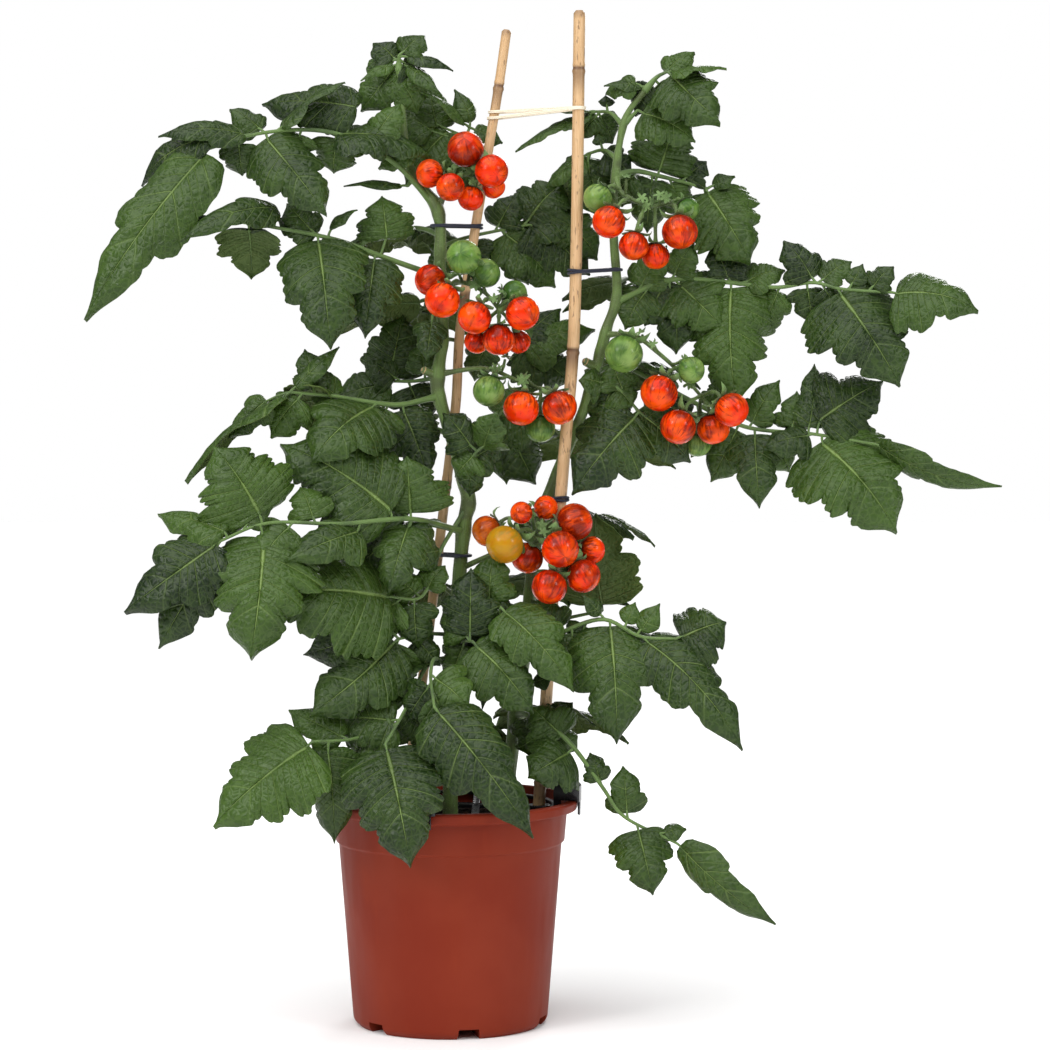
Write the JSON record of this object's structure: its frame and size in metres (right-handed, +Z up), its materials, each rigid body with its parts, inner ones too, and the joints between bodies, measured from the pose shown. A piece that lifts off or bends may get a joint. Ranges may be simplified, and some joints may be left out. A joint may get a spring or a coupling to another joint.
{
  "type": "potted tomato plant",
  "caption": "Cherry tomato plant in a terracotta-coloured plastic pot, its stems tied to bamboo canes, with trusses of ripe and green fruits.",
  "frame": {"origin": "middle of the pot's underside, on the surface it stands on", "axes": "+Z up along the plant, +X to the right of the front view, the front towards -Y"},
  "size_m": [0.7327, 0.264, 0.8204],
  "materials": {
    "pot": "satin",
    "holder": "satin",
    "soil": "matte",
    "cane": "satin",
    "band": "matte",
    "tie": "satin",
    "foliage": "satin",
    "tomato_ripe": "gloss",
    "tomato_orange": "gloss",
    "tomato_yellow": "gloss",
    "tomato_green": "gloss"
  },
  "bodies": {
    "root": {"pot": "pot", "soil": "soil", "cane_holder": "holder", "cane_left": "cane", "cane_right": "cane", "elastic_band": "band", "tie_left_high": "tie", "tie_left_low": "tie", "tie_right_high": "tie", "tie_right_low": "tie", "leafy_stem_left": "foliage", "leafy_stem_right": "foliage", "tomato_top_left_1": "tomato_ripe", "tomato_top_left_2": "tomato_ripe", "tomato_top_left_3": "tomato_ripe", "tomato_top_left_4": "tomato_ripe", "tomato_top_left_5": "tomato_ripe", "tomato_top_left_6": "tomato_ripe", "tomato_second_left_1": "tomato_ripe", "tomato_second_left_2": "tomato_ripe", "tomato_second_left_3": "tomato_ripe", "tomato_second_left_4": "tomato_ripe", "tomato_second_left_5": "tomato_ripe", "tomato_second_left_6": "tomato_green", "tomato_second_left_7": "tomato_green", "tomato_second_left_8": "tomato_green", "tomato_second_left_9": "tomato_ripe", "tomato_second_left_10": "tomato_ripe", "tomato_centre_1": "tomato_ripe", "tomato_centre_2": "tomato_ripe", "tomato_centre_3": "tomato_green", "tomato_centre_4": "tomato_green", "tomato_upper_right_1": "tomato_ripe", "tomato_upper_right_2": "tomato_ripe", "tomato_upper_right_3": "tomato_ripe", "tomato_upper_right_4": "tomato_ripe", "tomato_upper_right_5": "tomato_green", "tomato_upper_right_6": "tomato_green", "tomato_lower_right_1": "tomato_green", "tomato_lower_right_2": "tomato_ripe", "tomato_lower_right_3": "tomato_ripe", "tomato_lower_right_4": "tomato_ripe", "tomato_lower_right_5": "tomato_ripe", "tomato_lower_right_6": "tomato_green", "tomato_lower_right_7": "tomato_green", "tomato_bottom_1": "tomato_ripe", "tomato_bottom_2": "tomato_ripe", "tomato_bottom_3": "tomato_ripe", "tomato_bottom_4": "tomato_yellow", "tomato_bottom_5": "tomato_ripe", "tomato_bottom_6": "tomato_orange", "tomato_bottom_7": "tomato_ripe", "tomato_bottom_8": "tomato_ripe", "tomato_bottom_9": "tomato_ripe", "tomato_bottom_10": "tomato_ripe"}
  },
  "joints": []
}
